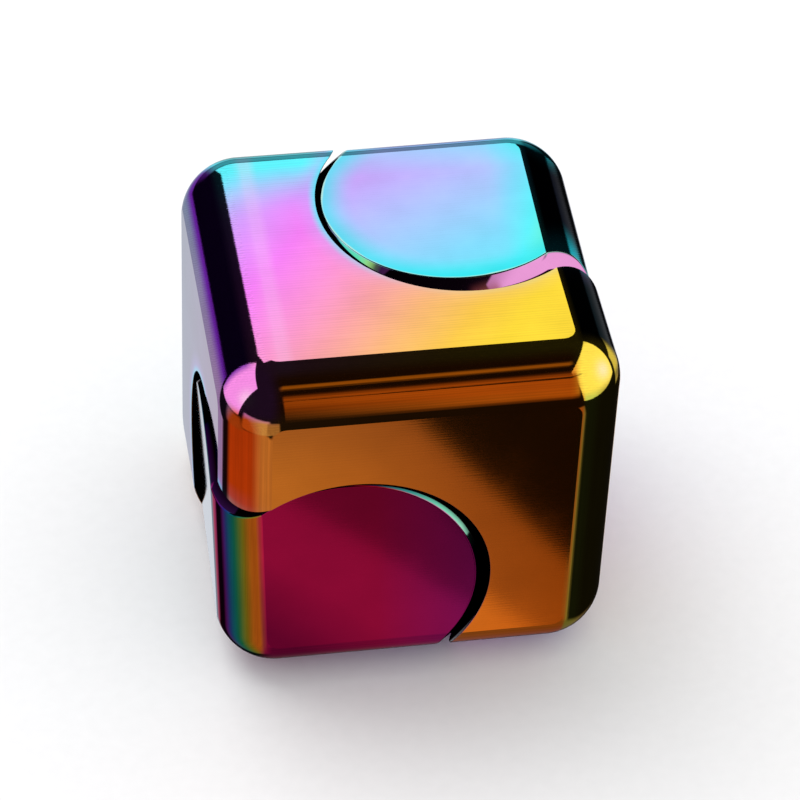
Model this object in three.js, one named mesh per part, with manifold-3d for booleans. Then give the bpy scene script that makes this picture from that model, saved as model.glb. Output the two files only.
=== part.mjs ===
// Spinner cube: a round-edged metal cube in three pieces that turn on one diagonal.
// The body is the cube less two spherical pockets, one round each end of a body diagonal.
// Each pocket holds a ball-sided corner cap. The two caps are keyed to one axle pin, which
// runs in a shielded ball bearing pressed into the thin web left between the pockets.
//
// Millimetres, +Z up, origin at the cube's centre, where the spin axis crosses it.
// The cube's faces are square to X, Y and Z. The spin axis runs from the lower left front
// corner (-X, -Y, -Z) to the upper right back corner (+X, +Y, +Z).

import * as THREE from "three";
import { RoundedBoxGeometry } from "three/addons/geometries/RoundedBoxGeometry.js";
import { mergeVertices } from "three/addons/utils/BufferGeometryUtils.js";
import Module from "manifold-3d";

// ---- Driving dimensions ----

const EDGE = 30; // across the cube's flat faces
const EDGE_RADIUS = 4.6; // round milled along every edge
const EDGE_STANDOFF = 0.1; // the rounds are milled this far outside the faces, which leaves a crisp line
const SOCKET_INSET = 9.65; // ball centre to each of the three faces round its corner
const POCKET_RADIUS = 14.4; // spherical pocket in the body
const CAP_RADIUS = 13.85; // ball side of a corner cap
const CAP_TURN = THREE.MathUtils.degToRad(-3.5); // how far the caps stand off the body's faces at rest

const WEB_HALF = 3; // web between the pockets, half its thickness
const CAP_FACE = 3.5; // a cap's flat inner face, from the centre
const SEAT_SHOULDER_RADIUS = 5.7; // lip that the bearing is pressed against

const BEARING_OUTER_RADIUS = 6.35; // 1/4 x 1/2 x 3/16 inch miniature bearing
const BEARING_BORE_RADIUS = 3.175;
const BEARING_HALF_WIDTH = 2.38;
const BALL_RADIUS = 0.79;
const BALL_COUNT = 10;
const GROOVE_RADIUS = 0.84; // raceway groove, a little wider than its ball
const OUTER_LAND_RADIUS = 5.3;
const INNER_LAND_RADIUS = 4.22;

const SHIELD_THICKNESS = 0.22;
const SHIELD_INNER_RADIUS = 4.35;
const SHIELD_OUTER_RADIUS = 5.72;
const SHIELD_POCKET_RADIUS = 5.78; // step in the outer race that takes the shield
const SHIELD_STEP = 1.96; // height of that step from the centre

const CAGE_INNER_RADIUS = 4.5;
const CAGE_OUTER_RADIUS = 5.02;
const CAGE_LOW = -0.45; // open side, between the balls
const CAGE_HIGH = 1.35; // closed side
const CAGE_POCKET_RADIUS = 0.87;

const PIN_RADIUS = 3.12;
const PIN_HALF_LENGTH = 9.4;
const PIN_KEY_FLAT = 2.4; // flat on both ends of the pin, from its axis
const PIN_KEY_START = 3.45; // where the flat begins
const PIN_CHAMFER = 0.4;
const WASHER_INNER_RADIUS = 3.2;
const WASHER_OUTER_RADIUS = 4;
const FIT_GAP = 0.05; // between pieces pressed or resting on each other

const ROUND_STEPS = 6; // facets across an edge round
const BALL_STEPS = 48; // facets round the pockets and caps
const TURNED_STEPS = 36; // facets round turned pieces
const BALL_FACETS = 10; // facets round a bearing ball
const GROOVE_STEPS = 4; // facets across a raceway groove

// ---- Worked out from them ----

const AXIS_CENTRE = Math.sqrt(3) * (EDGE / 2 - SOCKET_INSET); // ball centre, along the spin axis
const PITCH_RADIUS = (BEARING_BORE_RADIUS + BEARING_OUTER_RADIUS) / 2;
const REACH = 2 * EDGE; // long enough to cut right through
const OVERCUT = 1; // how far a cutter runs past the face it enters

// Spindle frame: Z along the spin axis, X level across the cube. Half a turn about X swaps its two ends.
const spinAxis = new THREE.Vector3(1, 1, 1).normalize();
const levelAxis = new THREE.Vector3(1, -1, 0).normalize();
const spindleFrame = new THREE.Matrix4().makeBasis(
  levelAxis,
  new THREE.Vector3().crossVectors(spinAxis, levelAxis),
  spinAxis,
);

// ---- Colours ----

function metal(colour, roughness) {
  return new THREE.MeshStandardMaterial({ color: colour, roughness, metalness: 1 });
}

const rainbowPlate = metal(0xc46ad6, 0.15);
const rainbowPlateCap = metal(0x86b8e8, 0.12);
const bearingSteel = metal(0xc9ccd0, 0.2);
const pinSteel = metal(0x9a9da2, 0.3);
const cageBrass = metal(0xc8a24a, 0.35);

// ---- Solids: three.js geometry in and out of the boolean library ----

const wasm = await Module();
wasm.setup();

function toSolid(geometry) {
  const bare = geometry.clone();
  bare.deleteAttribute("normal");
  bare.deleteAttribute("uv");
  const merged = mergeVertices(bare, 1e-4);
  return new wasm.Manifold(
    new wasm.Mesh({
      numProp: 3,
      vertProperties: merged.attributes.position.array,
      triVerts: new Uint32Array(merged.index.array),
    }),
  );
}

function toGeometry(solid) {
  const mesh = solid.getMesh();
  const geometry = new THREE.BufferGeometry();
  geometry.setAttribute("position", new THREE.BufferAttribute(mesh.vertProperties, 3));
  geometry.setIndex(new THREE.BufferAttribute(mesh.triVerts, 1));
  geometry.computeVertexNormals();
  return geometry;
}

// A solid turned about Z from [radius, height] points, anticlockwise with the radius to the right.
function turned(points, steps = TURNED_STEPS) {
  const profile = points.map(([radius, height]) => new THREE.Vector2(radius, height));
  const geometry = new THREE.LatheGeometry(profile, steps);
  geometry.rotateX(Math.PI / 2); // the lathe turns about Y
  return geometry;
}

// A ring of rectangular section.
function ring(inner, outer, low, high) {
  return turned([
    [inner, low],
    [outer, low],
    [outer, high],
    [inner, high],
    [inner, low],
  ]);
}

function cylinder(radius, low, high) {
  return turned([
    [0, low],
    [radius, low],
    [radius, high],
    [0, high],
  ]);
}

// Points of an arc about [radius, height], from one angle to another in degrees.
function arc([radius, height], size, from, to, steps) {
  return Array.from({ length: steps + 1 }, (_, i) => {
    const angle = THREE.MathUtils.degToRad(from + ((to - from) * i) / steps);
    return [radius + size * Math.cos(angle), height + size * Math.sin(angle)];
  });
}

// ---- The cube and the balls that divide it ----

// A cube whose edges are rounded from a slightly larger box, so each flat face ends in a crisp line.
function roundedCube() {
  const roundedSide = EDGE + 2 * EDGE_STANDOFF;
  const rounded = new RoundedBoxGeometry(
    roundedSide,
    roundedSide,
    roundedSide,
    ROUND_STEPS,
    EDGE_RADIUS,
  );
  const faces = new THREE.BoxGeometry(EDGE, EDGE, EDGE);
  return toSolid(rounded).intersect(toSolid(faces));
}

// The part of a ball round the upper end of the spin axis that lies above a flat floor, in the spindle frame.
function ballAboveFloor(radius, floor) {
  const drop = AXIS_CENTRE - floor;
  const floorRadius = Math.sqrt(radius ** 2 - drop ** 2);
  const from = THREE.MathUtils.radToDeg(Math.atan2(-drop, floorRadius));
  const side = arc([0, AXIS_CENTRE], radius, from, 90, BALL_STEPS / 2);
  side[side.length - 1][0] = 0; // the pole lies exactly on the axis
  return turned([[0, floor], ...side], BALL_STEPS);
}

function flipped(geometry) {
  return geometry.clone().rotateX(Math.PI);
}

// ---- Body ----

function bodyGeometry() {
  const pocket = ballAboveFloor(POCKET_RADIUS, WEB_HALF);
  const seat = cylinder(
    BEARING_OUTER_RADIUS + FIT_GAP,
    -BEARING_HALF_WIDTH - FIT_GAP,
    REACH / 4,
  );
  const shoulder = cylinder(SEAT_SHOULDER_RADIUS, -REACH / 4, REACH / 4);
  const cutters = [pocket, flipped(pocket), seat, shoulder];
  const body = cutters.reduce(
    (solid, cutter) => solid.subtract(toSolid(cutter.applyMatrix4(spindleFrame))),
    roundedCube(),
  );
  return toGeometry(body);
}

// ---- Corner caps, in the spindle frame ----

// Everything on the flat's side of a keyed pin, to take off a round bar.
function beyondFlat(flat, low, high) {
  const block = new THREE.BoxGeometry(REACH, REACH, high - low);
  return block.translate(flat + REACH / 2, 0, (low + high) / 2);
}

function capGeometry() {
  const cube = toGeometry(roundedCube()).applyMatrix4(spindleFrame.clone().invert());
  const socketEnd = PIN_HALF_LENGTH + FIT_GAP;
  const round = toSolid(cylinder(PIN_RADIUS + FIT_GAP, CAP_FACE - OVERCUT, socketEnd));
  const key = beyondFlat(PIN_KEY_FLAT + FIT_GAP, CAP_FACE - 2 * OVERCUT, socketEnd + OVERCUT);
  const socket = round.subtract(toSolid(key));
  const cap = toSolid(cube)
    .intersect(toSolid(ballAboveFloor(CAP_RADIUS, CAP_FACE)))
    .subtract(socket);
  return toGeometry(cap);
}

// ---- Axle and spacers ----

function pinGeometry() {
  const bar = turned([
    [0, -PIN_HALF_LENGTH],
    [PIN_RADIUS - PIN_CHAMFER, -PIN_HALF_LENGTH],
    [PIN_RADIUS, -PIN_HALF_LENGTH + PIN_CHAMFER],
    [PIN_RADIUS, PIN_HALF_LENGTH - PIN_CHAMFER],
    [PIN_RADIUS - PIN_CHAMFER, PIN_HALF_LENGTH],
    [0, PIN_HALF_LENGTH],
  ]);
  const upper = beyondFlat(PIN_KEY_FLAT, PIN_KEY_START, PIN_HALF_LENGTH + OVERCUT);
  const keyed = toSolid(bar).subtract(toSolid(upper)).subtract(toSolid(flipped(upper)));
  return toGeometry(keyed);
}

function washerGeometry() {
  return ring(
    WASHER_INNER_RADIUS,
    WASHER_OUTER_RADIUS,
    BEARING_HALF_WIDTH + FIT_GAP,
    CAP_FACE - FIT_GAP,
  );
}

// ---- Bearing ----

// Half the angle of the raceway groove where it meets a land at this radius.
function grooveAngle(landRadius) {
  return THREE.MathUtils.radToDeg(
    Math.acos(Math.abs(landRadius - PITCH_RADIUS) / GROOVE_RADIUS),
  );
}

function outerRaceGeometry() {
  const open = grooveAngle(OUTER_LAND_RADIUS);
  const groove = arc([PITCH_RADIUS, 0], GROOVE_RADIUS, open, -open, GROOVE_STEPS);
  return turned([
    [SHIELD_POCKET_RADIUS, -BEARING_HALF_WIDTH],
    [BEARING_OUTER_RADIUS, -BEARING_HALF_WIDTH],
    [BEARING_OUTER_RADIUS, BEARING_HALF_WIDTH],
    [SHIELD_POCKET_RADIUS, BEARING_HALF_WIDTH],
    [SHIELD_POCKET_RADIUS, SHIELD_STEP],
    [OUTER_LAND_RADIUS, SHIELD_STEP],
    ...groove,
    [OUTER_LAND_RADIUS, -SHIELD_STEP],
    [SHIELD_POCKET_RADIUS, -SHIELD_STEP],
    [SHIELD_POCKET_RADIUS, -BEARING_HALF_WIDTH],
  ]);
}

function innerRaceGeometry() {
  const open = grooveAngle(INNER_LAND_RADIUS);
  const groove = arc([PITCH_RADIUS, 0], GROOVE_RADIUS, 180 + open, 180 - open, GROOVE_STEPS);
  return turned([
    [BEARING_BORE_RADIUS, -BEARING_HALF_WIDTH],
    [INNER_LAND_RADIUS, -BEARING_HALF_WIDTH],
    ...groove,
    [INNER_LAND_RADIUS, BEARING_HALF_WIDTH],
    [BEARING_BORE_RADIUS, BEARING_HALF_WIDTH],
    [BEARING_BORE_RADIUS, -BEARING_HALF_WIDTH],
  ]);
}

function shieldGeometry() {
  const low = SHIELD_STEP + FIT_GAP;
  return ring(SHIELD_INNER_RADIUS, SHIELD_OUTER_RADIUS, low, low + SHIELD_THICKNESS);
}

function ballCentre(index) {
  const angle = (2 * Math.PI * index) / BALL_COUNT;
  return new THREE.Vector3(Math.cos(angle), Math.sin(angle), 0).multiplyScalar(PITCH_RADIUS);
}

// A crown cage: a ring whose ball pockets are open on its low side.
function cageGeometry() {
  let cage = toSolid(ring(CAGE_INNER_RADIUS, CAGE_OUTER_RADIUS, CAGE_LOW, CAGE_HIGH));
  for (let i = 0; i < BALL_COUNT; i++) {
    const { x, y, z } = ballCentre(i);
    const pocket = new THREE.SphereGeometry(CAGE_POCKET_RADIUS, BALL_FACETS, BALL_FACETS / 2);
    cage = cage.subtract(toSolid(pocket.translate(x, y, z)));
  }
  return toGeometry(cage);
}

// ---- Assembly ----

const cube = new THREE.Group();
const spindle = new THREE.Group();
spindle.applyMatrix4(spindleFrame);
const turning = new THREE.Group(); // everything that turns with the caps
turning.rotation.z = CAP_TURN;
cube.add(spindle);
spindle.add(turning);

function add(parent, name, geometry, material) {
  const mesh = new THREE.Mesh(geometry, material);
  mesh.name = name;
  parent.add(mesh);
  return mesh;
}

add(cube, "spinner_body", bodyGeometry(), rainbowPlate);

const cap = capGeometry();
add(turning, "upper_corner_cap", cap, rainbowPlateCap);
add(turning, "lower_corner_cap", flipped(cap), rainbowPlateCap);
add(turning, "axle_pin", pinGeometry(), pinSteel);

const washer = washerGeometry();
add(turning, "upper_spacer_washer", washer, pinSteel);
add(turning, "lower_spacer_washer", flipped(washer), pinSteel);
add(turning, "bearing_inner_race", innerRaceGeometry(), bearingSteel);

const shield = shieldGeometry();
add(spindle, "bearing_outer_race", outerRaceGeometry(), bearingSteel);
add(spindle, "upper_bearing_shield", shield, bearingSteel);
add(spindle, "lower_bearing_shield", flipped(shield), bearingSteel);

add(spindle, "bearing_cage", cageGeometry(), cageBrass);
for (let i = 0; i < BALL_COUNT; i++) {
  const sphere = new THREE.SphereGeometry(BALL_RADIUS, BALL_FACETS, BALL_FACETS / 2);
  const ball = add(spindle, `bearing_ball_${String(i + 1).padStart(2, "0")}`, sphere, bearingSteel);
  ball.position.copy(ballCentre(i));
}

export default cube;
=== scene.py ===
"""Spinner cube: the plated body and caps, its bearing, a studio and the camera.

Sizes are in millimetres, in the CAD's frame: origin at the cube's centre, +Z up, and the
spin axis along (1, 1, 1).
"""

import math

import bpy
from mathutils import Matrix, Vector


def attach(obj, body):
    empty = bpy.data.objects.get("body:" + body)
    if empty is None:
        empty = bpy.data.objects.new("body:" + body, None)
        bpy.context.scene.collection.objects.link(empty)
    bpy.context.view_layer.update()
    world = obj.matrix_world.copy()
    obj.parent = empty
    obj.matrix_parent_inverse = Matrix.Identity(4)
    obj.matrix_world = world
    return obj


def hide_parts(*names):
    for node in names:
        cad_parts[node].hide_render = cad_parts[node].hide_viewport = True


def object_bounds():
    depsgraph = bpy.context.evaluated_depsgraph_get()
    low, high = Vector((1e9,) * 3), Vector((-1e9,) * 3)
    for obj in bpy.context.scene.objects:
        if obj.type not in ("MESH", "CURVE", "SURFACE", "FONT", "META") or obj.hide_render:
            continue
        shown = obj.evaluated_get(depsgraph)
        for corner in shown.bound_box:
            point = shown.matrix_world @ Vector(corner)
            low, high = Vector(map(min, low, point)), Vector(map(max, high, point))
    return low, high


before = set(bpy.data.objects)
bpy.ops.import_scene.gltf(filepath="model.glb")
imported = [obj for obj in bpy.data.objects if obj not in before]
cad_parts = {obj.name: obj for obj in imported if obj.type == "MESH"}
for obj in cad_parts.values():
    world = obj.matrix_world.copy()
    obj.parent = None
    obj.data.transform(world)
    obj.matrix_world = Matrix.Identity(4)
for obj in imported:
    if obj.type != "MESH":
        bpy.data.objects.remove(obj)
cad_low, cad_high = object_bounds()

# ---- Sizes, as the CAD has them ----

MM = 0.001
HALF = 15.0  # from the centre to a flat face
ROUND = 4.6  # radius of the edge rounds
CORE = HALF + 0.1 - ROUND  # centres of the rounds
CRISP = math.acos((HALF - CORE) / ROUND)  # tilt at which a round leaves its flat face
SPIN = Vector((1, 1, 1)).normalized()
LEVEL = Vector((1, -1, 0)).normalized()
ACROSS = SPIN.cross(LEVEL)
BALL_CENTRE = math.sqrt(3) * (HALF - 9.65)  # along the spin axis
POCKET = 14.4  # ball radius of the body's pockets
CAP = 13.85  # ball radius of the caps
CAP_TURN = math.radians(-3.5)
WEB = 3.0  # half the web between the pockets
CAP_FACE = 3.5
SEAT = 6.4
SEAT_FLOOR = -2.43
SHOULDER = 5.7
SOCKET = 3.17
SOCKET_FLAT = 2.45
SOCKET_END = 9.45
POCKET_RIM = 0.07  # small rounds along the seam edges
CAP_RIM = 0.07
CHAMFER = 0.25  # at the mouths of the seat and the sockets

FLAT_CELLS = 36
ROUND_CELLS = 10  # on half a round
WALL_CELLS = 18
SAME = 1e-5  # coordinates closer than this are one
ON_FLAT = 1e-4
ON_SEAM = 0.006  # points this near a seam are left where they are


# ---- Meshes with a stated normal at every corner ----


class Skin:
    """Points and faces, with a normal for each corner of each face."""

    def __init__(self):
        self.points, self.faces, self.normals = [], [], []

    def point(self, where):
        self.points.append(Vector(where))
        return len(self.points) - 1

    def row(self, places):
        return [self.point(p) for p in places]

    def face(self, corners, normals):
        """Adds a face, turned so that it looks the way its normals point."""
        start = self.points[corners[0]]
        sides = [self.points[i] - start for i in corners[1:]]
        turn = Vector()
        for a, b in zip(sides, sides[1:]):
            turn += a.cross(b)
        if turn.dot(sum(normals, Vector())) < 0:
            corners, normals = corners[::-1], normals[::-1]
        self.faces.append(list(corners))
        self.normals.append(list(normals))

    def strip(self, low, high, low_normals, high_normals):
        """Quads between two closed rows with the same number of points."""
        n = len(low)
        for i in range(n):
            j = (i + 1) % n
            self.face(
                [low[i], low[j], high[j], high[i]],
                [low_normals[i], low_normals[j], high_normals[j], high_normals[i]],
            )

    def turned(self, matrix):
        self.points = [matrix @ p for p in self.points]
        spin = matrix.to_3x3()
        self.normals = [[spin @ n for n in normals] for normals in self.normals]
        return self


def in_spindle(p):
    """Radius, angle and height of a point about the spin axis."""
    x, y, z = p.dot(LEVEL), p.dot(ACROSS), p.dot(SPIN)
    return math.hypot(x, y), math.atan2(y, x), z


def from_spindle(radius, angle, height):
    return radius * spoke(angle) + height * SPIN


def spoke(angle):
    return math.cos(angle) * LEVEL + math.sin(angle) * ACROSS


# ---- The round-edged cube ----


def stations():
    """Places across a face, as (core coordinate, tilt of the round)."""
    tilts = [CRISP * i / 3 for i in range(3)]
    tilts += [CRISP + (math.pi / 4 - CRISP) * i / ROUND_CELLS for i in range(ROUND_CELLS + 1)]
    middle = [(CORE * (2 * i / FLAT_CELLS - 1), 0) for i in range(1, FLAT_CELLS)]
    return [(-CORE, -t) for t in tilts[::-1]] + middle + [(CORE, t) for t in tilts]


def core_of(p):
    return Vector([max(-CORE, min(CORE, c)) for c in p])


def is_flat(p, axis):
    return abs(abs(p[axis]) - HALF) < SAME


def split(points, faces, value, tolerance, settle=None):
    """Splits faces where value changes sign, and returns them with the sign of each."""
    values = [value(p) for p in points]
    values = [0 if abs(v) < tolerance else v for v in values]
    made = {}

    def cut(a, b):
        key = (min(a, b), max(a, b))
        if key not in made:
            low, high = (a, b) if values[a] < 0 else (b, a)
            inside, outside = points[low], points[high]
            for _ in range(40):  # halves the way to the crossing
                middle = (inside + outside) / 2
                if value(middle) < 0:
                    inside = middle
                else:
                    outside = middle
            place = settle(outside) if settle else outside
            points.append(place)
            values.append(0)
            made[key] = len(points) - 1
        return made[key]

    result, signs = [], []
    for face in faces:
        ring = []
        for a, b in zip(face, face[1:] + face[:1]):
            ring.append(a)
            if values[a] * values[b] < 0:
                ring.append(cut(a, b))
        parts = [ring]
        if min(values[i] for i in ring) < 0 < max(values[i] for i in ring):
            zeros = [k for k, i in enumerate(ring) if values[i] == 0]
            first, last = zeros[0], zeros[-1]
            parts = [ring[first : last + 1], ring[last:] + ring[: first + 1]]
        for part in parts:
            if len(part) > 2:
                result.append(part)
                signs.append(sum(values[i] for i in part))
    return result, signs


def rounded_cube():
    """Points and faces of the cube: rounds from a slightly larger box, then six flats laid in."""
    points, faces, known = [], [], {}

    def known_point(p):
        key = tuple(round(c, 5) for c in p)
        if key not in known:
            known[key] = len(points)
            points.append(p)
        return known[key]

    places = stations()
    for axis in range(3):
        i, j = (axis + 1) % 3, (axis + 2) % 3
        for sign in (-1, 1):
            grid = []
            for a, tilt_a in places:
                line = []
                for b, tilt_b in places:
                    core, way = Vector(), Vector()
                    core[axis], core[i], core[j] = sign * CORE, a, b
                    way[axis], way[i], way[j] = sign, math.tan(tilt_a), math.tan(tilt_b)
                    line.append(known_point(core + ROUND * way.normalized()))
                grid.append(line)
            for u in range(len(places) - 1):
                for v in range(len(places) - 1):
                    near, far = grid[u], grid[u + 1]
                    faces.append([near[v], far[v], far[v + 1], near[v + 1]])

    corner_ring = math.sqrt(ROUND**2 - (HALF - CORE) ** 2)
    for axis in range(3):
        for sign in (-1, 1):

            def onto_flat(p):
                core = core_of(p)
                aside = p - core
                aside[axis] = 0
                place = core + aside.normalized() * corner_ring
                place[axis] = sign * HALF
                return place

            faces, _ = split(points, faces, lambda p: sign * p[axis] - HALF, ON_FLAT, onto_flat)
            for p in points:
                if sign * p[axis] > HALF - ON_FLAT:
                    p[axis] = sign * HALF
    return points, faces


def cube_part(cuts):
    """The cube's outer skin outside or inside each (centre, radius, side), as a Skin."""
    points, faces = rounded_cube()
    for centre, radius, side in cuts:
        faces, signs = split(points, faces, lambda p: (p - centre).length - radius, ON_SEAM)
        faces = [face for face, sign in zip(faces, signs) if sign * side > 0]
    skin, index = Skin(), {}
    for face in faces:
        corners = []
        for i in face:
            if i not in index:
                index[i] = skin.point(points[i])
            corners.append(index[i])
        places = [points[i] for i in face]
        flat = [axis for axis in range(3) if all(is_flat(p, axis) for p in places)]
        if flat:
            normal = Vector()
            normal[flat[0]] = math.copysign(1, places[0][flat[0]])
            normals = [normal] * len(face)
        else:
            normals = [(p - core_of(p)).normalized() for p in places]
        skin.face(corners, normals)
    return skin


def open_rows(skin):
    """The skin's open edges as closed rows of points, each in walking order."""
    uses = {}
    for face in skin.faces:
        for a, b in zip(face, face[1:] + face[:1]):
            key = (min(a, b), max(a, b))
            uses[key] = uses.get(key, 0) + 1
    near = {}
    for (a, b), count in uses.items():
        if count == 1:
            near.setdefault(a, []).append(b)
            near.setdefault(b, []).append(a)
    rows = []
    while near:
        start = min(near)
        row = [start]
        while True:
            ahead = [p for p in near[row[-1]] if p in near and p not in row[-2:-1]]
            ahead = [p for p in ahead if p not in row] or [start]
            if ahead[0] == start:
                break
            row.append(ahead[0])
        for p in row:
            del near[p]
        rows.append(row)
    return rows


def outward(p):
    for axis in range(3):
        if is_flat(p, axis):
            normal = Vector()
            normal[axis] = math.copysign(1, p[axis])
            return normal
    return (p - core_of(p)).normalized()


# ---- Seam rims and ball walls ----


def rim_and_wall(skin, row, end, radius, rim, end_height, facing):
    """Rounds a seam edge and carries the ball wall down to a flat web or floor.

    end is 1 for the upper ball and -1 for the lower; facing is 1 where the metal is inside the
    ball. Returns the last row and its angles about the spin axis.
    """
    centre = end * BALL_CENTRE * SPIN
    tops = [skin.points[i] for i in row]
    top_normals = [outward(p) for p in tops]
    lips = []
    for p, normal in zip(tops, top_normals):
        lip = p - rim * normal
        for _ in range(8):  # settles on the ball, at the rim's depth
            lip = centre + radius * (lip - centre).normalized()
            lip -= (rim - (p - lip).dot(normal)) * normal
        lips.append(centre + radius * (lip - centre).normalized())
    lip_normals = [facing * (p - centre).normalized() for p in lips]
    middle_normals = [(a + b).normalized() for a, b in zip(top_normals, lip_normals)]
    middles = [(a + b) / 2 + 0.2 * rim * n for a, b, n in zip(tops, lips, middle_normals)]
    middle_row = skin.row(middles)
    lip_row = skin.row(lips)
    skin.strip(row, middle_row, top_normals, middle_normals)
    skin.strip(middle_row, lip_row, middle_normals, lip_normals)

    last_row, last_normals = lip_row, lip_normals
    angles, falls = [], []
    floor_fall = math.acos((end_height - BALL_CENTRE) / radius)
    for p in lips:
        _, angle, _ = in_spindle(p)
        angles.append(angle)
        falls.append(math.acos(max(-1, min(1, (p - centre).normalized().dot(end * SPIN)))))
    for step in range(1, WALL_CELLS + 1):
        share = step / WALL_CELLS
        ways = []
        for angle, fall in zip(angles, falls):
            at = fall + (floor_fall - fall) * share
            ways.append(math.sin(at) * spoke(angle) + math.cos(at) * end * SPIN)
        next_row = skin.row([centre + radius * way for way in ways])
        next_normals = [facing * way for way in ways]
        skin.strip(last_row, next_row, last_normals, next_normals)
        last_row, last_normals = next_row, next_normals
    return last_row, angles


def lathe_on(skin, row, angles, steps):
    """Carries a row on round the spin axis; steps give radius, height and the normal's parts."""
    for radius, height, out, up in steps:
        new = skin.row([from_spindle(radius, a, height) for a in angles])
        normals = [(out * spoke(a) + up * SPIN).normalized() for a in angles]
        skin.strip(row, new, normals, normals)
        row = new
    return row


def in_order(row, angles):
    """(angle, point) once round from the smallest angle, and back to the first point."""
    start = angles.index(min(angles))
    step = 1 if math.sin(angles[(start + 2) % len(row)] - angles[start]) > 0 else -1
    turns = [(start + step * k) % len(row) for k in range(len(row))]
    pairs = [(angles[k], row[k]) for k in turns]
    return pairs + [(pairs[0][0] + math.tau, pairs[0][1])]


def join_rows(skin, low, low_angles, high, high_angles, facing):
    """Triangles between two closed rows round the axis that have different points."""
    lows, highs = in_order(low, low_angles), in_order(high, high_angles)
    i = j = 0
    while i < len(lows) - 1 or j < len(highs) - 1:
        (a, p), (b, q) = lows[i], highs[j]
        high_done, low_left = j == len(highs) - 1, i < len(lows) - 1
        step_low = high_done or (low_left and lows[i + 1][0] <= highs[j + 1][0])
        c, r = lows[i + 1] if step_low else highs[j + 1]
        skin.face([p, q, r], [facing * spoke(angle) for angle in (a, b, c)])
        i, j = (i + 1, j) if step_low else (i, j + 1)


def body_skin():
    skin = cube_part([(end * BALL_CENTRE * SPIN, POCKET + POCKET_RIM, 1) for end in (1, -1)])
    rows = {}
    for row in open_rows(skin):
        end = 1 if skin.points[row[0]].dot(SPIN) > 0 else -1
        last, angles = rim_and_wall(skin, row, end, POCKET, POCKET_RIM, WEB, -1)
        rows[end] = (last, angles)
    upper, upper_angles = rows[1]
    lower, lower_angles = rows[-1]
    upper = lathe_on(
        skin,
        upper,
        upper_angles,
        [(SEAT + CHAMFER, WEB, 0, 1), (SEAT, WEB - CHAMFER, -1, 1)],
    )
    lower = lathe_on(
        skin,
        lower,
        lower_angles,
        [
            (SHOULDER + CHAMFER / 2, -WEB, 0, -1),
            (SHOULDER, -WEB + CHAMFER / 2, -1, -1),
            (SHOULDER, SEAT_FLOOR, -1, 0),
            (SEAT, SEAT_FLOOR, 0, 1),
        ],
    )
    join_rows(skin, lower, lower_angles, upper, upper_angles, -1)
    return skin


def cap_skin():
    """The upper cap, flush with the cube; it is turned into place afterwards."""
    skin = cube_part([(BALL_CENTRE * SPIN, CAP - CAP_RIM, -1)])
    (row,) = open_rows(skin)
    row, angles = rim_and_wall(skin, row, 1, CAP, CAP_RIM, CAP_FACE + CHAMFER, 1)
    edge = math.sqrt(CAP**2 - (BALL_CENTRE - CAP_FACE - CHAMFER) ** 2)
    row = lathe_on(skin, row, angles, [(edge - 2 * CHAMFER, CAP_FACE, 0.6, -0.8)])

    def keyed(angle, grow):
        round_radius, flat = SOCKET + grow, SOCKET_FLAT + grow
        across = round_radius * math.cos(angle)
        return flat / math.cos(angle) if across > flat else round_radius

    def key_normal(angle):
        return -LEVEL if SOCKET * math.cos(angle) > SOCKET_FLAT else -spoke(angle)

    def keyed_row(grow, height):
        return skin.row([from_spindle(keyed(a, grow), a, height) for a in angles])

    mouth = keyed_row(CHAMFER, CAP_FACE)
    skin.strip(row, mouth, [-SPIN] * len(row), [-SPIN] * len(row))
    lip = keyed_row(0, CAP_FACE + CHAMFER)
    slant = [(key_normal(a) - SPIN).normalized() for a in angles]
    skin.strip(mouth, lip, slant, slant)
    foot = keyed_row(0, SOCKET_END)
    walls = [key_normal(a) for a in angles]
    skin.strip(lip, foot, walls, walls)
    middle = skin.point(SOCKET_END * SPIN)
    for i in range(len(foot)):
        skin.face([foot[i], foot[(i + 1) % len(foot)], middle], [-SPIN] * 3)
    return skin


# ---- Turned pieces of the bearing and axle ----

BORE, OUTSIDE = 3.175, 6.35  # radii of the bearing
RACE_HALF = 2.38  # half the races' width
OUTER_LAND, INNER_LAND = 5.3, 4.22  # radii beside the ball grooves
OUTER_BREAK, BORE_BREAK, LAND_BREAK = 0.2, 0.18, 0.12  # broken edges of the races
RECESS, RECESS_HEIGHT = 5.78, 1.96  # steps that hold the shields
GROOVE, GROOVE_CELLS = 0.84, 14
PITCH = (BORE + OUTSIDE) / 2
BALLS, BALL, BALL_CELLS = 10, 0.79, 10
PIN, PIN_FLAT, PIN_BREAK = 3.12, 2.4, 0.4
PIN_KEY, PIN_END = 3.45, 9.4  # heights where the flats begin and the pin ends
TURNED_CELLS = 96
GENTLE = math.radians(30)  # profile corners sharper than this stay crisp


def arc(centre, radius, start, end, cells):
    """Points of an arc in a profile, in degrees."""
    angles = [math.radians(start + (end - start) * i / cells) for i in range(cells + 1)]
    return [(centre[0] + radius * math.cos(a), centre[1] + radius * math.sin(a)) for a in angles]


def ring_skin(profile):
    """A closed ring from a closed profile of (radius, height), anticlockwise."""
    n = len(profile)
    flats = []
    for i in range(n):
        (r0, h0), (r1, h1) = profile[i], profile[(i + 1) % n]
        flats.append(Vector((h1 - h0, r0 - r1)).normalized())
    skin = Skin()
    angles = [math.tau * i / TURNED_CELLS for i in range(TURNED_CELLS)]
    rows = [skin.row([from_spindle(r, a, h) for a in angles]) for r, h in profile]
    for i in range(n):
        before, here, after = flats[i - 1], flats[i], flats[(i + 1) % n]
        first = (before + here).normalized() if before.angle(here) < GENTLE else here
        last = (here + after).normalized() if here.angle(after) < GENTLE else here
        normals = [[v.x * spoke(a) + v.y * SPIN for a in angles] for v in (first, last)]
        skin.strip(rows[i], rows[(i + 1) % n], *normals)
    return skin


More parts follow.
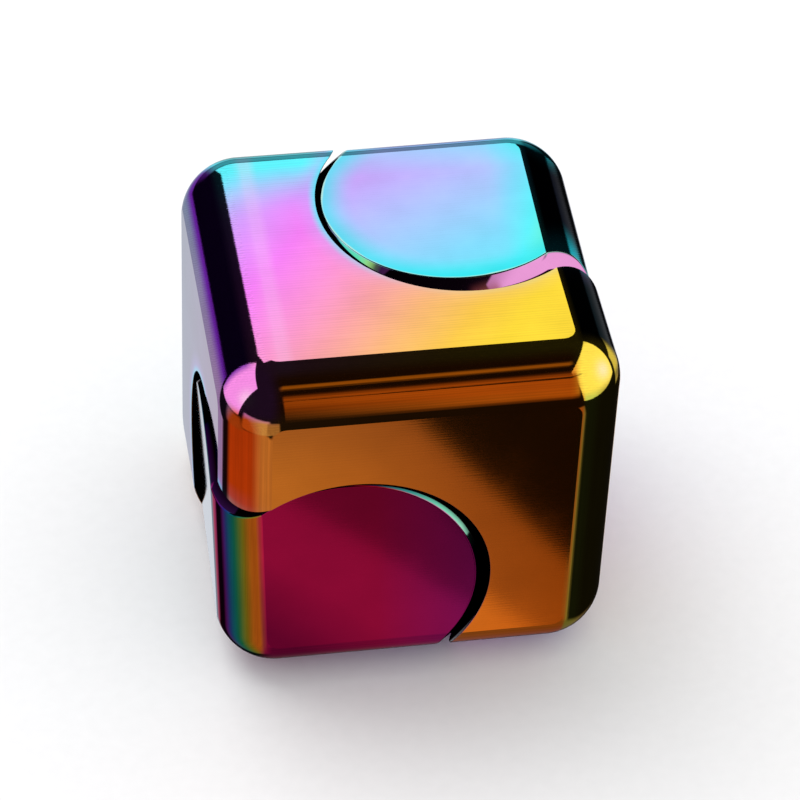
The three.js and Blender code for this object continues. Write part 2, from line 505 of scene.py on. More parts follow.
def outer_race():
    opening = math.degrees(math.acos((OUTER_LAND - PITCH) / GROOVE))
    corner, edge = OUTSIDE - OUTER_BREAK, RACE_HALF - OUTER_BREAK
    return [
        (RECESS, -RACE_HALF),
        (corner, -RACE_HALF),
        (OUTSIDE, -edge),
        (OUTSIDE, edge),
        (corner, RACE_HALF),
        (RECESS, RACE_HALF),
        (RECESS, RECESS_HEIGHT),
        (OUTER_LAND, RECESS_HEIGHT),
        *arc((PITCH, 0), GROOVE, opening, -opening, GROOVE_CELLS),
        (OUTER_LAND, -RECESS_HEIGHT),
        (RECESS, -RECESS_HEIGHT),
    ]


def inner_race():
    opening = math.degrees(math.acos((PITCH - INNER_LAND) / GROOVE))
    mouth, shoulder = RACE_HALF - BORE_BREAK, RACE_HALF - LAND_BREAK
    return [
        (BORE, -mouth),
        (BORE + BORE_BREAK, -RACE_HALF),
        (INNER_LAND - LAND_BREAK, -RACE_HALF),
        (INNER_LAND, -shoulder),
        *arc((PITCH, 0), GROOVE, 180 + opening, 180 - opening, GROOVE_CELLS),
        (INNER_LAND, shoulder),
        (INNER_LAND - LAND_BREAK, RACE_HALF),
        (BORE + BORE_BREAK, RACE_HALF),
        (BORE, mouth),
    ]


def shield():
    inside, outside, under, top = 4.35, 5.72, 2.01, 2.23
    return [(inside, under), (outside, under), (outside, top), (4.5, top), (inside, 2.12)]


def washer():
    inside, outside, under, top, broken = 3.2, 4.0, 2.43, 3.45, 0.08
    return [
        (inside, under),
        (outside - broken, under),
        (outside, under + broken),
        (outside, top - broken),
        (outside - broken, top),
        (inside, top),
    ]


def ball_skin(centre, radius):
    """A ball from a subdivided cube, so no poles show."""
    skin, known, cells = Skin(), {}, BALL_CELLS
    for axis in range(3):
        i, j = (axis + 1) % 3, (axis + 2) % 3
        for sign in (-1, 1):
            grid = []
            for u in range(cells + 1):
                line = []
                for v in range(cells + 1):
                    way = Vector()
                    way[axis] = sign
                    way[i] = math.tan(math.pi / 4 * (2 * u / cells - 1))
                    way[j] = math.tan(math.pi / 4 * (2 * v / cells - 1))
                    way.normalize()
                    key = tuple(round(c, 4) for c in way)
                    if key not in known:
                        known[key] = skin.point(centre + radius * way)
                    line.append((known[key], way))
                grid.append(line)
            for u in range(cells):
                for v in range(cells):
                    near, far = grid[u], grid[u + 1]
                    quad = [near[v], far[v], far[v + 1], near[v + 1]]
                    skin.face([k for k, _ in quad], [way for _, way in quad])
    return skin


def pin_skin():
    """The axle pin, with a key flat at each end: +LEVEL is the flats' side."""
    upper = [(PIN_KEY, PIN), (PIN_END - PIN_BREAK, PIN), (PIN_END, PIN - PIN_BREAK)]
    heights = [(-height, radius) for height, radius in upper[::-1]] + upper
    angles = [math.tau * i / TURNED_CELLS for i in range(TURNED_CELLS)]
    skin = Skin()

    def keyed(angle, radius):
        return PIN_FLAT / math.cos(angle) if math.cos(angle) * radius > PIN_FLAT else radius

    def row(height, radius, cut):
        spots = [from_spindle(keyed(a, radius) if cut else radius, a, height) for a in angles]
        return skin.row(spots)

    def sides(radius, cut):
        return [LEVEL if cut and math.cos(a) * radius > PIN_FLAT else spoke(a) for a in angles]

    rows = []
    for height, radius in heights:
        cuts = {-PIN_KEY: [True, False], PIN_KEY: [False, True]}.get(height, [True])
        rows += [(row(height, radius, cut), height, radius, cut) for cut in cuts]
    for (low, h0, r0, cut), (high, h1, r1, _) in zip(rows, rows[1:]):
        if h0 == h1:
            facing = -SPIN if cut else SPIN
            for i in range(TURNED_CELLS):
                j = (i + 1) % TURNED_CELLS
                pairs = ((low[i], high[i]), (low[j], high[j]))
                if max((skin.points[a] - skin.points[b]).length for a, b in pairs) > SAME:
                    skin.face([low[i], low[j], high[j], high[i]], [facing] * 4)
            continue
        lean = (r0 - r1) * SPIN
        normals = [
            [(side * abs(h1 - h0) + lean).normalized() for side in sides(r, cut)] for r in (r0, r1)
        ]
        skin.strip(low, high, *normals)
    for end, facing in ((rows[0][0], -SPIN), (rows[-1][0], SPIN)):
        centre = skin.point(sum((skin.points[i] for i in end), Vector()) / len(end))
        for i in range(len(end)):
            skin.face([end[i], end[(i + 1) % len(end)], centre], [facing] * 3)
    return skin


# ---- Coat colours: interference colours of a film that thickens across each face ----


def linear(red, green, blue):
    """Linear colour from a screen colour, 0 to 255."""
    return Vector([(c / 255) ** 2.2 for c in (red, green, blue)])


BRIGHT_FILM = [
    (0.00, linear(252, 216, 62)),
    (0.08, linear(250, 200, 76)),
    (0.18, linear(248, 182, 120)),
    (0.28, linear(246, 160, 165)),
    (0.38, linear(248, 145, 212)),
    (0.48, linear(246, 128, 246)),
    (0.58, linear(214, 148, 250)),
    (0.66, linear(192, 176, 252)),
    (0.74, linear(168, 200, 252)),
    (0.82, linear(130, 218, 252)),
    (0.92, linear(95, 240, 250)),
    (1.00, linear(110, 240, 205)),
]
DEEP_FILM = [
    (0.0, linear(226, 196, 70)),
    (0.2, linear(238, 160, 70)),
    (0.4, linear(222, 120, 28)),
    (0.6, linear(205, 52, 60)),
    (0.8, linear(205, 40, 115)),
    (1.0, linear(150, 40, 160)),
    (1.2, linear(60, 60, 190)),
    (1.4, linear(30, 140, 180)),
    (1.6, linear(40, 165, 110)),
    (1.8, linear(150, 170, 50)),
    (2.0, linear(236, 140, 48)),
]


def clamp(value):
    return min(1, max(0, value))


def film(stops, t):
    """Colour at t from (place, colour) stops."""
    t = max(stops[0][0], min(stops[-1][0], t))
    for (a, low), (b, high) in zip(stops, stops[1:]):
        if t <= b:
            return low.lerp(high, (t - a) / (b - a))
    return stops[-1][1]


def body_top(x, y):
    """Pink at the front left, gold at the front right, and cyan along the back."""
    plain = 0.36 - 0.0205 * (x + 10) + 0.0155 * (y + 9)
    back = clamp((y + 0.15 * max(0, -8 - x) - 4.8) / 6.0)
    return plain + (0.92 - plain) * back**2


def body_top_colour(x, y, z):
    """The film of the top, with a pale streak beside its left edge that is a painted highlight."""
    # Painted highlight: the pale streak lightens the film beside the top's left edge.
    streak = math.exp(-(((x + 10.2) / 0.55) ** 2))
    return film(BRIGHT_FILM, body_top(x, y)).lerp(linear(246, 196, 240), 0.32 * streak)


def body_front_colour(x, y, z):
    """Gold to orange, and olive where the right round begins."""
    return film(DEEP_FILM, 0.29 + 0.008 * x).lerp(linear(190, 196, 80), clamp((x - 11.4) / 0.25))


def body_left_colour(x, y, z):
    """Lilac, greyed and darkened."""
    return film(BRIGHT_FILM, 0.62 + 0.012 * y).lerp(linear(150, 148, 160), 0.7) * 0.72


def lower_front_colour(x, y, z):
    """Crimson, darker to the lower left and purple to the right."""
    colour = linear(212, 36, 108).lerp(linear(150, 24, 90), clamp(-(x + z + 13) / 8))
    return colour.lerp(linear(182, 44, 168), clamp((x + 3) / 9))


def upper_top(x, y):
    """Lilac in the middle, bluer towards the front, back and right."""
    rise = max(0, abs(y - 3) - 5.5) * 0.04 + max(0, x - 8.5) * 0.04
    return 0.65 + 0.008 * (x - 2) + 0.014 * (9 - y) + rise


BODY_FACES = {
    "+z": body_top_colour,
    "-y": body_front_colour,
    "-x": body_left_colour,
    "+x": lambda x, y, z: film(BRIGHT_FILM, 0.12 + 0.028 * (y + 11)),
    "+y": lambda x, y, z: film(BRIGHT_FILM, 0.62 - 0.022 * x),
    "-z": lambda x, y, z: film(BRIGHT_FILM, 0.40 + 0.020 * (x - y) / 2),
}

# Each edge has its reach across the round, and its colour
BODY_EDGES = {
    ("-x", "+z"): (40, linear(110, 40, 160)),
    ("-y", "+z"): (40, linear(215, 120, 40)),
    # Near-black: a painted dark reflection on the body's top right round.
    ("+x", "+z"): (250, linear(14, 30, 34)),
    ("+y", "+z"): (40, linear(40, 150, 140)),
    ("-x", "-y"): (40, linear(215, 85, 25)),
    ("+x", "-y"): (40, linear(170, 150, 60)),
}
UPPER_EDGES = {
    ("+y", "+z"): (40, linear(70, 60, 150)),
    # Near-black: a painted dark reflection on the cap's top right round.
    ("+x", "+z"): (250, linear(12, 20, 34)),
}
UPPER_FACES = {
    "+z": lambda x, y, z: film(BRIGHT_FILM, upper_top(x, y)),
    "+x": lambda x, y, z: film(BRIGHT_FILM, 0.70 + 0.014 * (9 - y)),
    "+y": lambda x, y, z: film(BRIGHT_FILM, 0.50 + 0.02 * (9 - x)),
}
LOWER_FACES = {
    "-y": lower_front_colour,
    "-x": lambda x, y, z: linear(108, 146, 160),
    "-z": lambda x, y, z: film(DEEP_FILM, 0.95 + 0.02 * (x - y) / 2),
}
# Painted highlight at the middle of each corner patch, and how strongly it comes in.
CORNER_PAINTED_HIGHLIGHT, CORNER_HIGHLIGHT_SHARE = linear(255, 236, 235), 0.45
CORNER_REACH = 130 / 27
CORNER_FADE = (0.3, 0.42)  # upright parts of the normal between which a corner's colour comes in
EDGE_START = 0.5


def coat(p, normal, faces, edges, corners):
    """Colour of the coat: face fields that meet across each round through an edge colour."""
    shares = {}
    for axis, name in enumerate("xyz"):
        key = ("+" if normal[axis] > 0 else "-") + name
        if key in faces:
            shares[key] = normal[axis] ** 4
    total = sum(shares.values()) or 1
    colour = sum((w / total * faces[k](*p) for k, w in shares.items()), Vector())
    keys = sorted(shares)
    for a in range(len(keys)):
        for b in range(a + 1, len(keys)):
            pair = tuple(sorted((keys[a], keys[b]), key=lambda k: k[1]))
            if pair in edges:
                reach, edge = edges[pair]
                weight = clamp(reach * shares[keys[a]] * shares[keys[b]] - EDGE_START)
                edge = edge(normal) if callable(edge) else edge
                colour = colour.lerp(edge, weight)
    ways = tuple(1 if c > 0 else -1 for c in normal)
    if ways in corners:
        centred = 27 * (normal.x * normal.y * normal.z) ** 2  # 1 in the middle of the corner
        low, high = CORNER_FADE
        weight = clamp(CORNER_REACH * centred) * clamp((abs(normal.z) - low) / (high - low))
        colour = colour.lerp(corners[ways], weight)
        # Painted highlight: the middle of the corner is lightened towards near white.
        colour = colour.lerp(CORNER_PAINTED_HIGHLIGHT, CORNER_HIGHLIGHT_SHARE * centred**9)
    return colour


# ---- Materials ----


class Nodes:
    """A node tree with short calls for the nodes used here."""

    def __init__(self, tree):
        self.tree = tree
        tree.nodes.clear()

    def new(self, kind, **settings):
        node = self.tree.nodes.new(kind)
        for key, value in settings.items():
            setattr(node, key, value)
        return node

    def link(self, value, socket):
        if isinstance(value, bpy.types.NodeSocket):
            self.tree.links.new(value, socket)
        else:
            socket.default_value = value

    def math(self, operation, a, b=0.0):
        node = self.new("ShaderNodeMath", operation=operation)
        self.link(a, node.inputs[0])
        self.link(b, node.inputs[1])
        return node.outputs[0]

    def vector(self, operation, a, b=(0, 0, 0), scale=None):
        node = self.new("ShaderNodeVectorMath", operation=operation)
        self.link(a, node.inputs[0])
        self.link(b, node.inputs[1])
        if scale is not None:
            self.link(scale, node.inputs["Scale"])
        return node.outputs["Value" if operation in ("DOT_PRODUCT", "LENGTH") else "Vector"]

    def between(self, value, low, high, out_low=0.0, out_high=1.0, smooth=True):
        kind = "SMOOTHSTEP" if smooth else "LINEAR"
        node = self.new("ShaderNodeMapRange", interpolation_type=kind)
        for socket, item in zip(node.inputs, (value, low, high, out_low, out_high)):
            self.link(item, socket)
        return node.outputs["Result"]

    def mix(self, factor, a, b, blend="MIX"):
        node = self.new("ShaderNodeMix", data_type="RGBA", blend_type=blend)
        self.link(factor, node.inputs["Factor"])
        self.link(a, node.inputs[6])
        self.link(b, node.inputs[7])
        return node.outputs[2]

    def noise(self, place, scale, detail=2.0, roughness=0.5):
        node = self.new("ShaderNodeTexNoise")
        self.link(place, node.inputs["Vector"])
        node.inputs["Scale"].default_value = scale
        node.inputs["Detail"].default_value = detail
        node.inputs["Roughness"].default_value = roughness
        return node.outputs["Fac"]


def rgba(colour):
    return (*colour, 1.0)


def millimetres(nodes):
    coords = nodes.new("ShaderNodeTexCoord").outputs["Object"]
    return nodes.vector("SCALE", coords, scale=1 / MM)


def metal_end(nodes, colour, roughness, bump_height, bump_depth, glancing=None):
    """Principled metal with a bump whose depth is in micrometres."""
    bump = nodes.new("ShaderNodeBump")
    bump.inputs["Strength"].default_value = 1.0
    bump.inputs["Distance"].default_value = bump_depth * 1e-6
    nodes.link(bump_height, bump.inputs["Height"])
    shader = nodes.new("ShaderNodeBsdfPrincipled")
    shader.inputs["Metallic"].default_value = 1.0
    nodes.link(colour, shader.inputs["Base Color"])
    nodes.link(roughness, shader.inputs["Roughness"])
    nodes.link(bump.outputs["Normal"], shader.inputs["Normal"])
    if glancing is not None:
        nodes.link(glancing, shader.inputs["Specular Tint"])
    output = nodes.new("ShaderNodeOutputMaterial")
    nodes.link(shader.outputs[0], output.inputs["Surface"])


TOOL_PITCH = 0.26  # millimetres between milling lines
LINE_SQUEEZE = 0.012  # noise along a line against noise across it
MILLING_DEPTH = 0.9  # micrometres
SHARP, SATIN = 0.025, 0.05  # least and most roughness of the plating
GLANCING_WHITE = 0.52
# Near-black glancing tint for the ball walls: painted shade in the gaps.
WALL_GLANCING_SHADE = (0.05, 0.04, 0.05, 1)


def plated(name, ball_radius, fringe):
    """Rainbow film over fine milling lines, with a fringe along the seams: thicker film, and on
    the caps also a narrow painted highlight.
    """
    material = bpy.data.materials.new(name)
    material.use_nodes = True
    nodes = Nodes(material.node_tree)
    place = millimetres(nodes)
    colour = nodes.new("ShaderNodeAttribute", attribute_name="coat").outputs["Color"]
    lay = nodes.new("ShaderNodeAttribute", attribute_name="lay").outputs["Vector"]
    skin = nodes.new("ShaderNodeAttribute", attribute_name="skin").outputs["Fac"]
    ways = nodes.new("ShaderNodeSeparateXYZ")
    nodes.link(lay, ways.inputs[0])

    # Milling lines: a regular tool pitch and finer noise, both drawn out along the lay.
    lines = 0.0
    for axis in range(3):
        squeeze = [1.0, 1.0, 1.0]
        squeeze[axis] = LINE_SQUEEZE
        long_place = nodes.vector("MULTIPLY", place, tuple(squeeze))
        fine = nodes.math("SUBTRACT", nodes.noise(long_place, 9.0, 3.0, 0.6), 0.5)
        wander = nodes.math("MULTIPLY", nodes.noise(long_place, 1.1, 2.0), 9.0)
        across = tuple(0.0 if k == axis else math.tau / TOOL_PITCH for k in range(3))
        phase = nodes.math("ADD", nodes.vector("DOT_PRODUCT", place, across), wander)
        wave = nodes.math("MULTIPLY", nodes.math("SINE", phase), 0.12)
        line = nodes.math("ADD", fine, wave)
        lines = nodes.math("ADD", lines, nodes.math("MULTIPLY", line, ways.outputs[axis]))
    cloud = nodes.noise(place, 0.25, 3.0)
    grain = nodes.noise(place, 14.0, 2.0)

    # The film thickens towards the two ball seams; the caps' narrow pale band is a painted
    # highlight along the rim.
    seam = None
    for end in (1, -1):
        offset = nodes.vector("SUBTRACT", place, tuple(end * BALL_CENTRE * SPIN))
        gap = nodes.math("SUBTRACT", nodes.vector("LENGTH", offset), ball_radius)
        gap = nodes.math("ABSOLUTE", gap)
        seam = gap if seam is None else nodes.math("MINIMUM", seam, gap)
    seam = nodes.math("ADD", seam, nodes.math("MULTIPLY", nodes.math("SUBTRACT", cloud, 0.5), 0.3))
    for reach, tint, amount in fringe:
        near = nodes.between(seam, 0.0, reach, amount, 0.0)
        near = nodes.math("MULTIPLY", near, nodes.math("MAXIMUM", skin, 0.0))
        colour = nodes.mix(near, colour, rgba(tint))

    # Faint tint changes along the lines, and a slow drift of the film.
    streak = nodes.between(lines, -0.2, 0.2, 0.9, 1.06, smooth=False)
    drift = nodes.between(cloud, 0.3, 0.7, 0.94, 1.04, smooth=False)
    shade = nodes.math("MULTIPLY", streak, drift)
    shade_colour = nodes.new("ShaderNodeCombineXYZ")
    for socket in shade_colour.inputs:
        nodes.link(shade, socket)
    colour = nodes.mix(1.0, colour, shade_colour.outputs[0], "MULTIPLY")

    roughness = nodes.between(grain, 0.3, 0.7, SHARP, SATIN, smooth=False)
    roughness = nodes.math("ADD", roughness, nodes.between(cloud, 0.5, 0.8, 0.0, 0.015))
    height = nodes.math("ADD", lines, nodes.math("MULTIPLY", grain, 0.15))
    # Painted shade: on the ball walls the glancing tint is near black, so the walls stay dark
    # inside the gaps.
    on_wall = nodes.math("LESS_THAN", skin, -0.01)
    glancing = nodes.mix(GLANCING_WHITE, colour, (1, 1, 1, 1))
    glancing = nodes.mix(on_wall, glancing, WALL_GLANCING_SHADE)
    metal_end(nodes, colour, roughness, height, MILLING_DEPTH, glancing)
    return material


def turned_metal(name, colour, roughness, depth):
    """Bare metal turned round the spin axis, with faint rings, depth micrometres, and marks."""
    material = bpy.data.materials.new(name)
    material.use_nodes = True
    nodes = Nodes(material.node_tree)
    place = millimetres(nodes)
    height = nodes.vector("DOT_PRODUCT", place, tuple(SPIN))
    along = nodes.vector("SCALE", tuple(SPIN), scale=height)
    radius = nodes.vector("LENGTH", nodes.vector("SUBTRACT", place, along))
    ring_place = nodes.new("ShaderNodeCombineXYZ")
    nodes.link(radius, ring_place.inputs[0])
    nodes.link(height, ring_place.inputs[1])
    rings = nodes.noise(ring_place.outputs[0], 14.0, 3.0, 0.6)
    marks = nodes.noise(place, 1.3, 4.0, 0.6)
    tint = nodes.mix(nodes.between(marks, 0.35, 0.7), rgba(colour), rgba(colour * 0.86))
    tint = nodes.mix(nodes.between(rings, 0.35, 0.65, 0.0, 0.25), tint, rgba(colour * 0.8))
    rough = nodes.between(marks, 0.3, 0.75, roughness * 0.8, roughness * 1.4)
    metal_end(nodes, tint, rough, rings, depth)
    return material


FRINGE_BRIGHT = [(1.5, linear(190, 170, 250), 0.5), (0.55, linear(95, 228, 248), 0.9)]
# The cap's second band, narrow and pale, is a painted highlight along the rim; the first is
# thicker film.
CAP_FRINGE_AND_RIM_HIGHLIGHT = [(1.7, linear(40, 228, 240), 0.75), (0.12, linear(225, 250, 215), 0.6)]
rainbow_body = plated("rainbow_body", POCKET, FRINGE_BRIGHT)
rainbow_cap = plated("rainbow_cap", CAP, CAP_FRINGE_AND_RIM_HIGHLIGHT)
bearing_steel = turned_metal("bearing_steel", Vector((0.79, 0.8, 0.82)), 0.12, 0.25)
shield_steel = turned_metal("shield_steel", Vector((0.74, 0.75, 0.77)), 0.22, 0.5)
pin_steel = turned_metal("pin_steel", Vector((0.6, 0.61, 0.63)), 0.25, 0.8)
cage_brass = turned_metal("cage_brass", Vector((0.78, 0.64, 0.29)), 0.3, 0.8)


# ---- Pieces ----


def piece(name, node, skin, material, body):
    mesh = bpy.data.meshes.new(name)
    mesh.from_pydata([tuple(p * MM) for p in skin.points], [], skin.faces)
    mesh.normals_split_custom_set([tuple(n) for normals in skin.normals for n in normals])
    mesh.materials.append(material)
    shown = bpy.data.objects.new(name, mesh)
    bpy.context.scene.collection.objects.link(shown)
    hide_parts(node)
    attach(shown, body)
    return shown


WALL_DEPTH = 0.05  # what lies deeper inside the flush cube is a ball wall
# Squared parts of a normal, which tell where on the cube it stands
ON_FACE, ON_CORNER, LEANING, SLIGHT, HARDLY = 0.98, 0.06, 0.04, 0.02, 0.01
ROUND_LINES, TOP_ROUND_LINES = 1.3, 3.2  # depth of the milling lines on the rounds
FRONT_LINES = 0.4  # share of that depth on the front face and at the corners
LEAST_FRINGE = 0.12


def milling_lay(normal, milling):
    """Where the milling lines run for this normal, as long as they are deep."""
    upright, sideways, front = normal.z**2, normal.x**2, normal.y**2
    deep = milling if max(upright, sideways, front) > ON_FACE else ROUND_LINES
    if upright > LEANING and sideways > LEANING and front < HARDLY:
        deep = TOP_ROUND_LINES
    if front > ON_FACE or min(upright, sideways, front) > ON_CORNER:
        deep *= FRONT_LINES
    if upright + front > 1 - LEANING or upright > LEANING:
        return deep, 0, 0
    if upright < SLIGHT and min(sideways, front) > SLIGHT:
        return 0, 0, deep
    return 0, deep, 0


def plate(skin, faces, edges, corners, walls, milling, fringe, side_fringe=False):
    """Coat colour, lay and fringe for each corner, from the flush cube's own shape.

    The fringe is -1 on the ball walls. With side_fringe it is strongest at the back left.
    """
    coats, lays, masks = [], [], []
    for face, normals in zip(skin.faces, skin.normals):
        for i, normal in zip(face, normals):
            p = skin.points[i]
            depth = min(ROUND - (p - core_of(p)).length, HALF - max(abs(c) for c in p))
            if depth > WALL_DEPTH:
                # Ball walls take painted shade and painted highlights from the wall colours.
                coats.append(walls(p, depth))
                masks.append(-1.0)
                lays.append((0, 0.1, 0))
                continue
            coats.append(coat(p, normal, faces, edges, corners))
            reach = max(LEAST_FRINGE, clamp((p.y - p.x + 6) / 16)) if side_fringe else 1
            masks.append(reach * fringe * (1 - max(0, -normal.y) ** 2))
            lays.append(milling_lay(normal, milling))
    return coats, lays, masks


def paint(mesh, coats, lays, masks):
    colour = mesh.attributes.new("coat", "FLOAT_COLOR", "CORNER")
    colour.data.foreach_set("color", [c for shade in coats for c in rgba(shade)])
    lay = mesh.attributes.new("lay", "FLOAT_VECTOR", "CORNER")
    lay.data.foreach_set("vector", [c for way in lays for c in way])
    mask = mesh.attributes.new("skin", "FLOAT", "CORNER")
    mask.data.foreach_set("value", masks)


# Wall colours take a point and its depth inside the flush cube; they paint the shade in the gaps
# and the highlights on the ball walls.
WALL_PAINTED_SHADE = linear(46, 22, 60)


def round_stops(stops, p):
    """Colour at a point from (degrees about the spin axis, colour) stops."""
    return film(stops, math.degrees(in_spindle(p)[1]) % 360)


# Painted shade: the body's ball walls are dark, darker round the lower ball.
def body_wall_painted_shade(p, depth):
    return linear(60, 40, 84) if p.dot(SPIN) > 0 else linear(40, 20, 44)


# Painted light round the spin axis, in degrees: the dark stops are painted shade in the gap, the
# pink and mint stops painted highlights.
UPPER_WALL_SHADE_AND_HIGHLIGHTS = [
    (0, linear(226, 146, 212)),
    (30, linear(226, 146, 212)),
    (60, WALL_PAINTED_SHADE),
    (253, WALL_PAINTED_SHADE),
    (256, linear(90, 214, 196)),
    (266, linear(96, 226, 176)),
    (270, linear(150, 210, 120)),
    (273, WALL_PAINTED_SHADE),
    (300, linear(120, 60, 110)),
    (312, linear(226, 150, 214)),
    (360, linear(226, 146, 212)),
]
# Painted shade, with a painted highlight in the mint band.
LOWER_WALL_SHADE_AND_HIGHLIGHTS = [
    (0, WALL_PAINTED_SHADE),
    (308, WALL_PAINTED_SHADE),
    (318, linear(60, 150, 150)),
    (330, linear(120, 220, 190)),
    (342, linear(150, 230, 200)),
    (352, WALL_PAINTED_SHADE),
]


def upper_wall_painted_light(p, depth):
    return round_stops(UPPER_WALL_SHADE_AND_HIGHLIGHTS, p)


def lower_wall_painted_light(p, depth):
    # Painted shade: darker the deeper the point lies inside the flush cube.
    return round_stops(LOWER_WALL_SHADE_AND_HIGHLIGHTS, p).lerp(linear(20, 8, 16), clamp(depth / 0.5))


def vertical_stripes(normal):
    """Film orders that crowd together across the cap's front left round."""
    return 0.7 * film(DEEP_FILM, 0.45 + 1.8 * abs(normal.y) ** 1.7)


CORNERS = {(-1, -1, 1): linear(244, 140, 225), (1, -1, 1): linear(255, 222, 80)}
LOWER_EDGES = {("-x", "-y"): (200, vertical_stripes)}

body = body_skin()
painted = plate(
    body, BODY_FACES, BODY_EDGES, CORNERS, body_wall_painted_shade, milling=0.6, fringe=1.0, side_fringe=True
)
body_piece = piece("plated_body", "spinner_body", body, rainbow_body, "spinner")
paint(body_piece.data, *painted)

turn = Matrix.Rotation(CAP_TURN, 3, SPIN)
half_turn = Matrix.Rotation(math.pi, 3, LEVEL)
upper = cap_skin()
painted = plate(upper, UPPER_FACES, UPPER_EDGES, {}, upper_wall_painted_light, milling=0.15, fringe=1.0)
upper_piece = piece(
    "plated_upper_cap",
    "upper_corner_cap",
    upper.turned(turn),
    rainbow_cap,
    "corner_caps",
)
paint(upper_piece.data, *painted)

lower = cap_skin().turned(half_turn)
painted = plate(lower, LOWER_FACES, LOWER_EDGES, {}, lower_wall_painted_light, milling=0.3, fringe=0.0)
lower_piece = piece(
    "plated_lower_cap",
    "lower_corner_cap",
    lower.turned(turn),
    rainbow_cap,
    "corner_caps",
)
paint(lower_piece.data, *painted)

piece("keyed_axle", "axle_pin", pin_skin().turned(turn), pin_steel, "corner_caps")
for end, flip in (("upper", Matrix.Identity(3)), ("lower", half_turn)):
    spacer = ring_skin(washer()).turned(flip)
    piece(f"{end}_spacer", f"{end}_spacer_washer", spacer, pin_steel, "corner_caps")
    cover = ring_skin(shield()).turned(flip)
    piece(f"{end}_shield", f"{end}_bearing_shield", cover, shield_steel, "spinner")
race = ring_skin(inner_race())
piece("inner_race", "bearing_inner_race", race, bearing_steel, "corner_caps")
race = ring_skin(outer_race())
piece("outer_race", "bearing_outer_race", race, bearing_steel, "spinner")
for i in range(BALLS):
    ball = ball_skin(from_spindle(PITCH, math.tau * i / BALLS, 0), BALL)
    name = f"ball_{i + 1:02d}"
    piece(name, f"bearing_{name}", ball, bearing_steel, "ball_cage")
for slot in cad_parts["bearing_cage"].material_slots:
    slot.material = cage_brass


# ---- Floor, studio and camera ----


def floor():
    size, height = 3.0, cad_low.z
    mesh = bpy.data.meshes.new("floor")
    corners = [(-size, -size), (size, -size), (size, size), (-size, size)]
    mesh.from_pydata([(x, y, height) for x, y in corners], [], [(0, 1, 2, 3)])
    material = bpy.data.materials.new("pale_floor")
    material.use_nodes = True
    nodes = Nodes(material.node_tree)
    place = nodes.new("ShaderNodeTexCoord").outputs["Object"]
    tone = nodes.mix(nodes.noise(place, 900.0, 2.0), (0.80, 0.80, 0.80, 1), (0.84, 0.84, 0.84, 1))
    shader = nodes.new("ShaderNodeBsdfDiffuse")
    nodes.link(tone, shader.inputs["Color"])
    output = nodes.new("ShaderNodeOutputMaterial")
    nodes.link(shader.outputs[0], output.inputs["Surface"])
    mesh.materials.append(material)
    shown = bpy.data.objects.new("floor", mesh)
    bpy.context.scene.collection.objects.link(shown)
    shown.visible_glossy = False


def heading(azimuth, elevation):
    """Direction from compass angles in degrees: azimuth 0 is +Y and 90 is +X."""
    a, e = math.radians(azimuth), math.radians(elevation)
    return Vector((math.sin(a) * math.cos(e), math.cos(a) * math.cos(e), math.sin(e)))


# Cards that the metal mirrors: azimuth, elevation, half width, half height, soft edge, colour
CARDS = [
    (0, 37, 18.5, 24, 0.04, (1.06, 1.06, 1.06)),
    (2, 2, 28, 9, 0.4, (0.36, 0.36, 0.38)),
    (-76, 18.5, 29, 33.5, 0.03, (1.05, 1.02, 1.04)),
    (110.5, 19.5, 39.5, 36.5, 0.03, (1.1, 1.08, 1.02)),
    (-12, -30, 31, 21, 0.08, (0.85, 0.86, 0.92)),
    (162, 21, 10, 21, 0.35, (0.52, 0.30, 0.13)),
    (162, 60, 7, 2.8, 0.9, (0.40, 0.33, 0.12)),
    (162, 36, 16, 1.2, 0.6, (0.03, 0.02, 0.01)),
    (168, -52, 23.5, 26, 0.10, (0.37, 0.235, 0.21)),
    (-118, -60, 32.5, 27, 0.12, (0.55, 0.36, 0.28)),
    (100, -78, 30, 16, 0.3, (0.26, 0.20, 0.18)),
    (53, -17, 14, 14, 0.12, (0.66, 0.66, 0.70)),
    (-92, -27, 15, 11, 0.35, (0.46, 0.42, 0.46)),
    (-136, -18, 24, 15, 0.15, (0.62, 0.58, 0.62)),
    (194, -18, 10, 12, 0.2, (0.38, 0.32, 0.32)),
    (171.4, -44.1, 1.7, 0.7, 0.9, (0.56, 0.37, 0.24)),
]
DARK = (0.012, 0.012, 0.014, 1)
TAN = (0.85, 0.58, 0.42, 1)
# Edges crossing what the front mirrors: two directions on the edge, one on its far side,
# middle and reach of the stretch, strength, colour
EDGES = [
    ((164.8, -45.0), (168.9, -42.65), (164.6, -42.0), (162, -39), 10, 1.0, DARK),
    ((166.8, -45.45), (165.4, -46.0), (167.3, -46.3), (167.2, -46.5), 2.6, 0.9, TAN),
    ((174.9, -40.6), (171.85, -41.8), (172.4, -39.9), (172.8, -39.9), 4.2, 0.55, DARK),
]


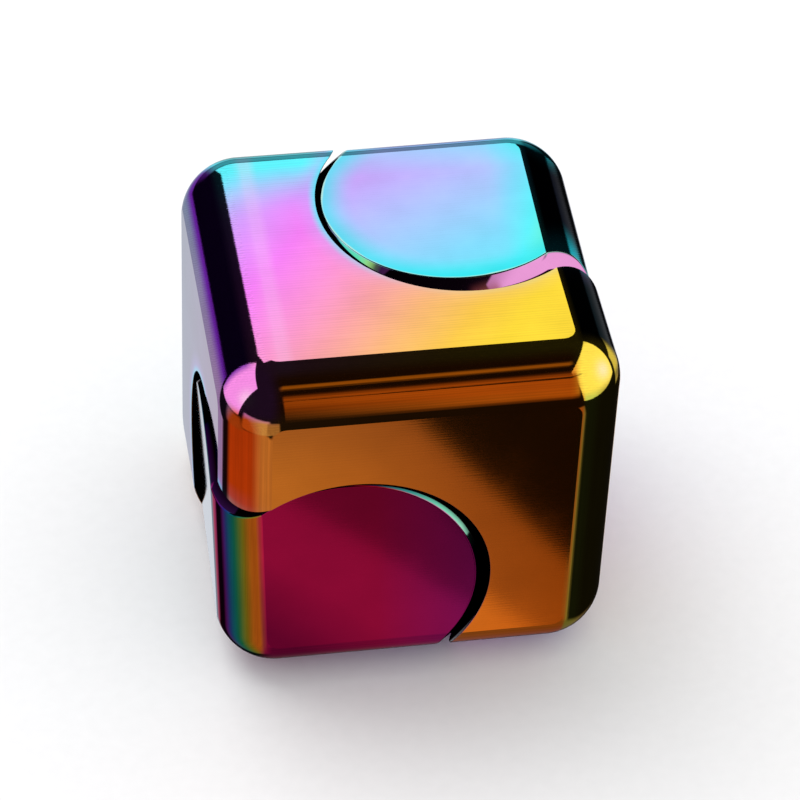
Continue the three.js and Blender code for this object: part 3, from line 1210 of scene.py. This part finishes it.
def studio():
    """Surroundings: mirrored rays see the cards, and all other rays see plain white."""
    world = bpy.data.worlds.new("studio")
    bpy.context.scene.world = world
    world.use_nodes = True
    nodes = Nodes(world.node_tree)
    way = nodes.new("ShaderNodeTexCoord").outputs["Generated"]
    way = nodes.vector("NORMALIZE", way)
    colour = DARK
    for azimuth, elevation, half_width, half_height, soft, tint in CARDS:
        middle = heading(azimuth, elevation)
        right = heading(azimuth + 90, 0)
        up = right.cross(middle)
        ahead = nodes.vector("DOT_PRODUCT", way, tuple(middle))
        safe = nodes.math("MAXIMUM", ahead, 0.001)
        mask = nodes.between(ahead, 0.0, 0.02)
        for axis, half in ((right, half_width), (up, half_height)):
            across = nodes.math("DIVIDE", nodes.vector("DOT_PRODUCT", way, tuple(axis)), safe)
            across = nodes.math("ABSOLUTE", across)
            reach = math.tan(math.radians(half))
            inside = nodes.between(across, reach * (1 - soft), reach * (1 + soft), 1.0, 0.0)
            mask = nodes.math("MULTIPLY", mask, inside)
        colour = nodes.mix(mask, colour, (*tint, 1))

    for start, end, far_side, middle, reach, strength, tint in EDGES:
        across = heading(*start).cross(heading(*end)).normalized()
        if across.dot(heading(*far_side)) < 0:
            across = -across
        side = nodes.vector("DOT_PRODUCT", way, tuple(across))
        beyond = nodes.between(side, -0.0005, 0.0018, 0.0, strength)
        near = nodes.vector("DOT_PRODUCT", way, tuple(heading(*middle)))
        fade = [math.cos(math.radians(reach * share)) for share in (1.0, 0.75)]
        beyond = nodes.math("MULTIPLY", beyond, nodes.between(near, *fade))
        colour = nodes.mix(beyond, colour, tint)

    paths = nodes.new("ShaderNodeLightPath")
    plain = nodes.mix(paths.outputs["Is Camera Ray"], (0.95, 0.95, 0.96, 1), (0.93, 0.93, 0.94, 1))
    colour = nodes.mix(paths.outputs["Is Glossy Ray"], plain, colour)
    background = nodes.new("ShaderNodeBackground")
    nodes.link(colour, background.inputs["Color"])
    output = nodes.new("ShaderNodeOutputWorld")
    nodes.link(background.outputs[0], output.inputs["Surface"])


def soft_light(azimuth, elevation, distance, size, power):
    data = bpy.data.lights.new("soft_light", "AREA")
    data.size, data.energy = size, power
    light = bpy.data.objects.new("soft_light", data)
    way = heading(azimuth, elevation)
    light.location = way * distance
    light.rotation_euler = way.to_track_quat("Z", "Y").to_euler()
    light.visible_glossy = False
    bpy.context.scene.collection.objects.link(light)


LENS, SENSOR = 163.98, 36
CAMERA_PLACE = (-0.03954, -0.20517, 0.19124)
CAMERA_AZIMUTH, CAMERA_ELEVATION, CAMERA_ROLL = 11.1, -42.52, 2.78


def camera():
    """A long lens, 42 degrees above and a little to the left."""
    data = bpy.data.cameras.new("camera")
    data.lens, data.sensor_width = LENS, SENSOR
    shown = bpy.data.objects.new("camera", data)
    ahead = heading(CAMERA_AZIMUTH, CAMERA_ELEVATION)
    level = heading(CAMERA_AZIMUTH + 90, 0)
    roll = math.radians(CAMERA_ROLL)
    right = math.cos(roll) * level + math.sin(roll) * level.cross(ahead)
    turn = Matrix((right, right.cross(ahead), -ahead)).transposed().to_4x4()
    shown.matrix_world = Matrix.Translation(CAMERA_PLACE) @ turn
    bpy.context.scene.collection.objects.link(shown)
    bpy.context.scene.camera = shown


floor()
studio()
soft_light(azimuth=-40, elevation=62, distance=0.5, size=0.35, power=1.2)
camera()
bpy.context.scene.view_settings.view_transform = "Standard"
